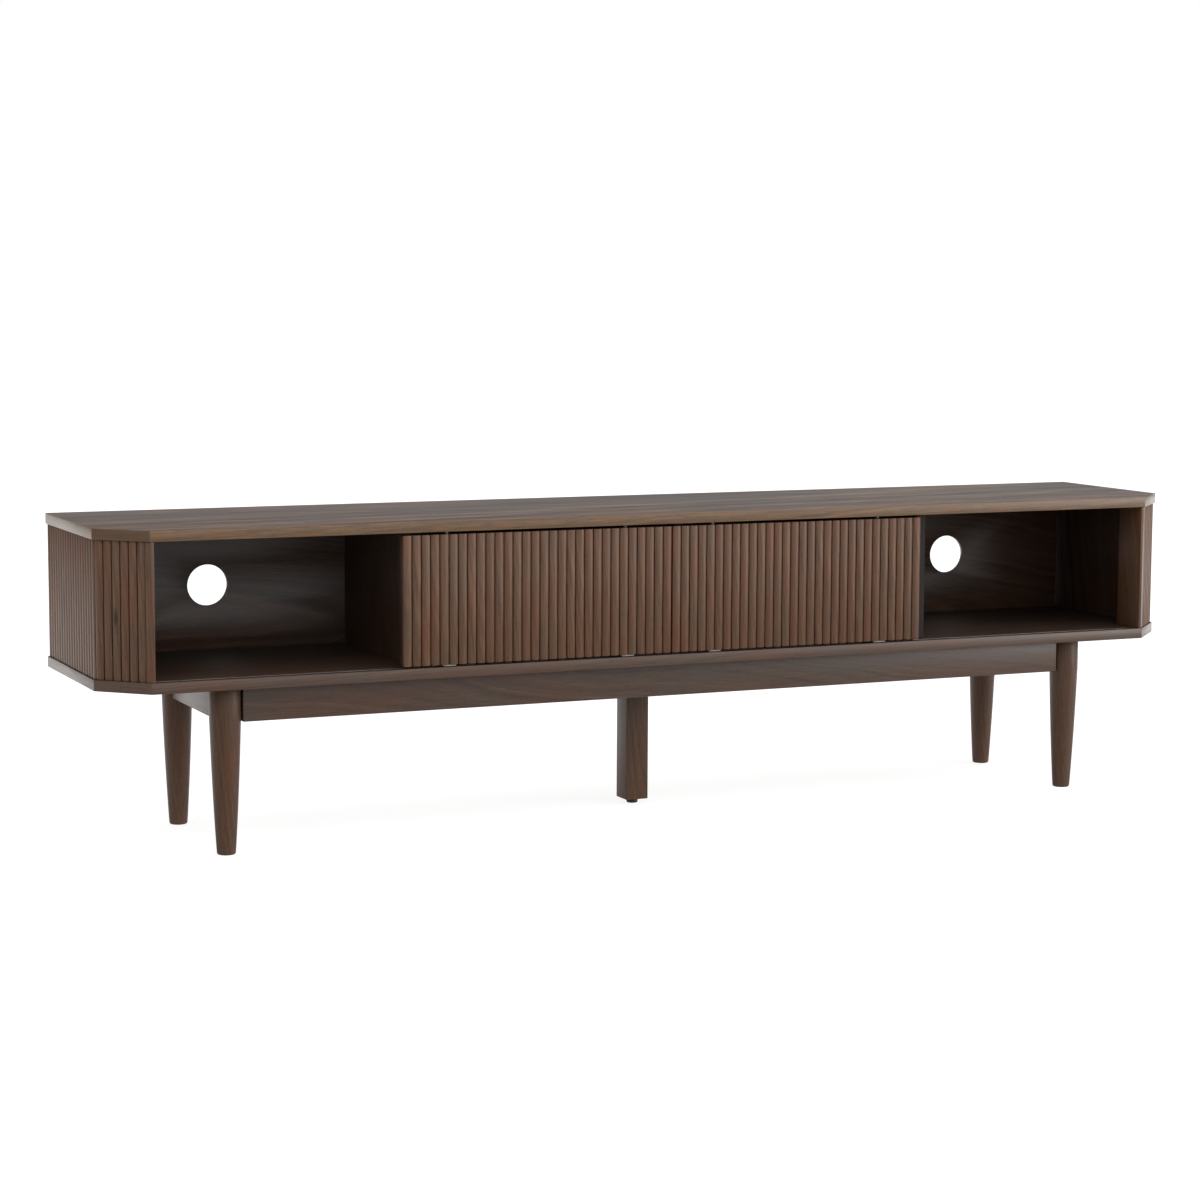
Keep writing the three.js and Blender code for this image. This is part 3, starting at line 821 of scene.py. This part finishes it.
outline = []
for step in range(5):
    turn = step * pi / 8
    radius = LEG_FOOT_RADIUS - FOOT_ROUNDING * (1 - sin(turn))
    outline.append((radius, FOOT_ROUNDING * (1 - cos(turn))))
for ring in range(1, TAPER_RINGS + 1):
    height = FOOT_ROUNDING + (TAPER_HEIGHT - FOOT_ROUNDING) * ring / TAPER_RINGS
    outline.append((leg_radius(height), height))
outline += [(LEG_TOP_RADIUS, leg_high.z - MM), (LEG_TOP_RADIUS - 0.6 * MM, leg_high.z)]
leg = turned("leg", outline, 64)
print("leg radius at half the taper:", round(leg_radius(TAPER_HEIGHT / 2) / MM, 1), "mm")

# %% [markdown]
# All four legs are alike, so each is a copy of the turned one, moved to its own place. Linked copies would
# share one mesh, but then they would share their grain too, and no two legs come from the same spot in
# a tree.

# %% Stand the four legs
for node in [n for n in NODES if n.endswith("_leg")]:
    low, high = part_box(node)
    copy = duplicate(leg, "finished_" + node)
    copy.location = ((low.x + high.x) / 2, (low.y + high.y) / 2, 0)
    done(copy)
    paint(copy, LEG_WOOD)
    lay_grain(copy, Z)
    hand_over(copy, node)
bpy.data.objects.remove(leg)
print("legs:", [n for n in NODES if n.endswith("_leg")])

# %% [markdown]
# ## Rails and post
# The rails and the square post are sawn and planed solid wood with lightly sanded arrises. Blocks with
# rounded edges are nearly all they need. The post is also drilled from below for the glide's insert, which
# a boolean cut with a cylinder does as a drill would.

# %% Plane the rails and the post
INSERT_DEPTH = 38 * MM
INSERT_CLEARANCE = 0.3 * MM
SANDED = 1.2 * MM
for node, along in (("front_apron", X), ("back_apron", X), ("left_side_rail", Y), ("right_side_rail", Y),
                    ("centre_rail", Y), ("centre_post", Z)):
    rail = block("finished_" + node, *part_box(node))
    if node == "centre_post":
        insert_low, insert_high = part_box("centre_glide_insert")
        middle = (insert_low + insert_high) / 2
        drill = rod("drill", (insert_high.x - insert_low.x) / 2 + INSERT_CLEARANCE, 0, INSERT_DEPTH)
        drill.location = (middle.x, middle.y, 0)
        bpy.context.view_layer.update()
        cut(rail, drill)
    soften(rail, EASED if node == "centre_rail" else SANDED, 3)
    done(rail)
    # The centre rail takes the inner veneer, painted dark as shade.
    paint(rail, {"centre_rail": SHADED_INNER_VENEER, "centre_post": LEG_WOOD}.get(node, RAIL_WOOD))
    lay_grain(rail, along)
    hand_over(rail, node)

# The corner blocks take the inner veneer, painted dark as shade.
for node in [n for n in NODES if n.endswith("corner_block")]:
    make_eased(node, EASED, X, SHADED_INNER_VENEER)
for node in [n for n in NODES if n.endswith("leg_bolt")]:
    make_eased(node, 0.4 * MM, None, STEEL)
print("wooden pieces:", len(laid))

# %% [markdown]
# ## Running gear
# Each door rolls on two small nylon rollers in forked housings let into its bottom edge, and two nylon
# pins at the top keep it upright. A roller could be a plain disc with a hole, but moulded ones have dished
# faces round the axle, to save plastic and friction, so the outline steps in and out.

# %% Rollers and axles
AXLE_BORE = 1.6 * MM
HUB_RADIUS = 3.0 * MM
DISH = 0.7 * MM
RIM = 1.4 * MM
EDGE = 0.7 * MM


def lie_along_y(piece, centre):
    """Turns an upright piece to lie along Y, round its middle, at a place."""
    piece.matrix_world = Matrix.Translation(centre) @ Matrix.Rotation(pi / 2, 4, "X")
    return done(piece)


for node in [n for n in NODES if n.endswith("_roller")]:
    low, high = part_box(node)
    radius, half = (high.x - low.x) / 2, (high.y - low.y) / 2
    lip = radius - RIM
    half_outline = [(radius, half - EDGE), (radius - EDGE, half), (lip, half), (lip - 0.4 * MM, half - DISH),
                    (HUB_RADIUS + 0.3 * MM, half - DISH), (HUB_RADIUS, half)]
    outline = [(r, -height) for r, height in reversed(half_outline)] + half_outline
    roller = turned("finished_" + node, outline)
    cut(roller, rod("drill", AXLE_BORE, -radius, radius))
    lie_along_y(roller, (low + high) / 2)
    paint(roller, NYLON)
    hand_over(roller, node)

for node in [n for n in NODES if n.endswith("_roller_axle")]:
    low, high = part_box(node)
    half = (high.y - low.y) / 2
    axle = rod("finished_" + node, (high.x - low.x) / 2, -half, half, 24)
    soften(axle, 0.3 * MM)
    lie_along_y(axle, (low + high) / 2)
    paint(axle, STEEL)
    hand_over(axle, node)
print("roller radius", round(radius / MM, 1), "mm, axle length", round(2 * half / MM, 1), "mm")

# %% [markdown]
# The pins are turned with a domed top, which slides in the groove without digging in. The housings are
# exact in CAD, but they also have a lip that reaches forward under the reeds, and it is what shows as a
# short pale line in the gap under each door. The tracks are plain channels, with only a hair taken off
# their edges.

# %% Pins, housings and tracks
LIP_HALF_WIDTH = 11 * MM
LIP_INSET = 2 * MM
LIP_ABOVE_BOARD = 0.2 * MM
LIP_BELOW_REEDS = 0.3 * MM
LIP_OVERLAP = 1 * MM
MOULDED_EDGE = 0.4 * MM

for node in [n for n in NODES if n.endswith("_guide_pin")]:
    low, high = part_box(node)
    radius = (high.y - low.y) / 2
    dome = [(1.0, 1.6 * MM), (0.93, 0.9 * MM), (0.72, 0.3 * MM), (0.45, 0)]
    outline = [(radius - MOULDED_EDGE, low.z), (radius, low.z + MOULDED_EDGE)]
    outline += [(radius * share, high.z - depth) for share, depth in dome]
    pin = turned("finished_" + node, outline, 32)
    pin.location = ((low.x + high.x) / 2, (low.y + high.y) / 2, 0)
    done(pin, 60)
    paint(pin, NYLON)
    hand_over(pin, node)

for node in [n for n in NODES if n.endswith("_roller_housing")]:
    housing = make_eased(node, MOULDED_EDGE, None, NYLON)
    low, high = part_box(node)
    slats_low, slats_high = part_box(node.split("_door")[0] + "_door_slats")
    middle = (low.x + high.x) / 2
    lip_low = (middle - LIP_HALF_WIDTH, slats_low.y + LIP_INSET, low.z + LIP_ABOVE_BOARD)
    lip_high = (middle + LIP_HALF_WIDTH, low.y + LIP_OVERLAP, slats_low.z - LIP_BELOW_REEDS)
    lip = block("lip", lip_low, lip_high)
    soften(lip, MOULDED_EDGE)
    done(lip)
    paint(lip, NYLON)
    join(housing.name, [housing, lip])
for node in ("bottom_track", "top_track"):
    make_eased(node, 0.15 * MM, None, ALUMINIUM, 1)
print("lips reach", round((low.y - slats_low.y - LIP_INSET) / MM, 1), "mm forward of the housings")

# %% [markdown]
# ## Glide
# The post stands on a glide: a round pad on a threaded stem that screws into a steel insert, so the
# middle of the long case can be levelled. The pad is moulded with a rounded rim. The stem is ridged
# like a screw thread by rings that step in and out.

# %% Glide and its insert
low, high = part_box("centre_glide")
glide_x, glide_y = (low.x + high.x) / 2, (low.y + high.y) / 2
pad = (high.x - low.x) / 2
STEM_RADIUS = 4 * MM
THREAD_PITCH = 1.25 * MM
THREAD_DEPTH = 0.5 * MM
STEM_PLAIN_TO = 9 * MM
outline = [(pad - 2.2 * MM, 0), (pad - 1 * MM, 0.4 * MM), (pad - 0.3 * MM, 1.1 * MM), (pad, 2.2 * MM),
           (pad, 4.8 * MM), (pad - 0.4 * MM, 6.3 * MM), (pad - 1.5 * MM, 7.5 * MM), (STEM_RADIUS, 7.5 * MM)]
height = STEM_PLAIN_TO
while height < high.z - THREAD_PITCH:
    outline += [(STEM_RADIUS, height), (STEM_RADIUS - THREAD_DEPTH, height + THREAD_PITCH / 2)]
    height += THREAD_PITCH
outline += [(STEM_RADIUS - THREAD_DEPTH, high.z)]
glide = turned("finished_centre_glide", outline, 48)
glide.location = (glide_x, glide_y, 0)
done(glide)
paint(glide, BLACK_PLASTIC)
hand_over(glide, "centre_glide")
make_eased("centre_glide_insert", 0.2 * MM, None, STEEL, 1)
print("glide outline has", len(outline), "rings")

# %% [markdown]
# ## Floor
# The cabinet stands on a plain pale floor in a white studio, as paper with a faint mottle. The satin
# lacquer mirrors that floor at a glancing angle, and that is what turns the ends of the boards grey-beige.
# So the paper also glows a little where those mirror images lie, behind the cabinet and to its right,
# while the camera itself sees one even white. Lamps over the floor could do it, but they would also light
# the legs.

# %% Floor
PAPER = [(0.3, "#a0a09f"), (0.7, "#a5a5a4")]
SEEN_FLOOR = 0.85
FLOOR_LEVEL = -0.2 * MM

bpy.ops.object.select_all(action="DESELECT")
bpy.ops.mesh.primitive_plane_add(size=1, location=(0, 8.5, FLOOR_LEVEL))
floor = bpy.context.object
floor.name = "floor"
floor.scale = (26, 22, 1)
bpy.ops.object.transform_apply(location=True, rotation=True, scale=True)
floor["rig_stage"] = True

material, tree = new_material("pale_studio_floor")
place = add_node(tree, "ShaderNodeTexCoord").outputs["Object"]
steps = add_node(tree, "ShaderNodeMapping", {"Vector": place, "Scale": per_mm(400, 400, 400)})
mottle = add_node(tree, "ShaderNodeTexNoise", {"Vector": steps, "Scale": 1.0, "Detail": 3})
tint = add_node(tree, "ShaderNodeValToRGB", {"Fac": mottle}, stops=PAPER)
paper = add_node(tree, "ShaderNodeBsdfDiffuse", {"Color": tint})
position = add_node(tree, "ShaderNodeSeparateXYZ", {0: place})
behind = add_node(tree, "ShaderNodeMapRange", {
    "Value": position.outputs["Y"], "From Min": -0.4, "From Max": 1.1, "To Min": 0.1, "To Max": 1.5})
to_the_right = add_node(tree, "ShaderNodeMapRange", {
    "Value": position.outputs["X"], "From Min": 1.5, "From Max": 3.5, "To Max": 0.8})
sweep_light = add_node(tree, "ShaderNodeMath", {0: behind, 1: to_the_right})
seen = add_node(tree, "ShaderNodeLightPath").outputs["Is Camera Ray"]
brightness = add_node(tree, "ShaderNodeMix", {0: seen, 2: sweep_light, 3: SEEN_FLOOR})
shine = add_node(tree, "ShaderNodeEmission", {"Strength": brightness})
both = add_node(tree, "ShaderNodeAddShader", {0: paper, 1: shine})
add_node(tree, "ShaderNodeOutputMaterial", {"Surface": both})
floor.data.materials.append(material)
print("floor reaches", [round(x, 1) for x in floor.dimensions])

# %% [markdown]
# ## Surroundings
# A studio's walls are white to look at, and they light the cabinet softly from all round. The light is
# strongest from straight above and from the right, and weaker from behind, so that little of it falls in
# through the cable holes. An image of a studio could do this too, but a few sums on the direction are
# easier to tune.

# %% Surroundings
SEEN_WALLS = 1.0
BELOW_LEVEL = 0.7

world = bpy.data.worlds.new("studio")
bpy.context.scene.world = world
world.use_nodes = True
tree = world.node_tree
tree.nodes.clear()
place = add_node(tree, "ShaderNodeTexCoord").outputs["Generated"]
direction = add_node(tree, "ShaderNodeSeparateXYZ", {0: place})
from_front = add_node(tree, "ShaderNodeMapRange", {
    "Value": direction.outputs["Y"], "From Min": -0.3, "From Max": 0.3, "To Min": 1.0, "To Max": 0.27})
from_right = add_node(tree, "ShaderNodeMapRange", {
    "Value": direction.outputs["X"], "From Min": -0.6, "From Max": 0.6, "To Min": 0.7, "To Max": 1.4})
overhead = add_node(tree, "ShaderNodeMapRange", {
    "Value": direction.outputs["Z"], "To Min": 0.75, "To Max": 1.9})
above = add_node(tree, "ShaderNodeMath", {0: overhead, 1: from_front}, operation="MULTIPLY")
above = add_node(tree, "ShaderNodeMath", {0: above, 1: from_right}, operation="MULTIPLY")
is_below = add_node(tree, "ShaderNodeMath", {0: direction.outputs["Z"], 1: 0.0}, operation="LESS_THAN")
glow = add_node(tree, "ShaderNodeMix", {0: is_below, 2: above, 3: BELOW_LEVEL})
seen = add_node(tree, "ShaderNodeLightPath").outputs["Is Camera Ray"]
strength = add_node(tree, "ShaderNodeMix", {0: seen, 2: glow, 3: SEEN_WALLS})
sky = add_node(tree, "ShaderNodeBackground", {"Color": (1, 1, 1, 1), "Strength": strength})
add_node(tree, "ShaderNodeOutputWorld", {"Surface": sky})
print("studio has", len(tree.nodes), "nodes")

# %% [markdown]
# ## Softboxes
# One big softbox far to the right picks out the right flank of every reed, and a weak one high on the left
# fills in the other. The big one stands well to the side, because nearer the front it would glare back
# from the lacquer inside the bays.

# %% Softboxes
def softbox(name, place, target, width, height, power):
    bpy.ops.object.light_add(type="AREA", location=place)
    light = bpy.context.object
    light.name = name
    light.data.shape = "RECTANGLE"
    light.data.size = width
    light.data.size_y = height
    light.data.energy = power
    light.rotation_euler = (Vector(target) - Vector(place)).to_track_quat("-Z", "Y").to_euler()
    return light


softbox("key_softbox", (5.2, -3.8, 0.9), (-0.2, 0, 0.4), 2.0, 2.0, 85)
softbox("fill_softbox", (-4.0, -2.6, 2.4), (-0.5, 0, 0.4), 1.6, 1.6, 10)

# %% [markdown]
# ## View transform
# Whites should stay white and browns keep the hex values they were mixed with, so the plain transform is
# used. The filmic ones are kinder to strong highlights, but they would grey the floor and dull the wood.

# %% Set the view transform
bpy.context.scene.view_settings.view_transform = "Standard"
bpy.context.scene.view_settings.look = "None"
print("view transform:", bpy.context.scene.view_settings.view_transform)

# %% [markdown]
# ## Sizes
# The finished cabinet must fill the CAD model's box and never leave it, so the difference between the
# two boxes' sizes is printed.

# %% Write the sizes and finish
finished_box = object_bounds()
growth = (finished_box[1] - finished_box[0]) - (cad_box[1] - cad_box[0])
print("grown by (mm):", [round(x / MM, 2) for x in growth])
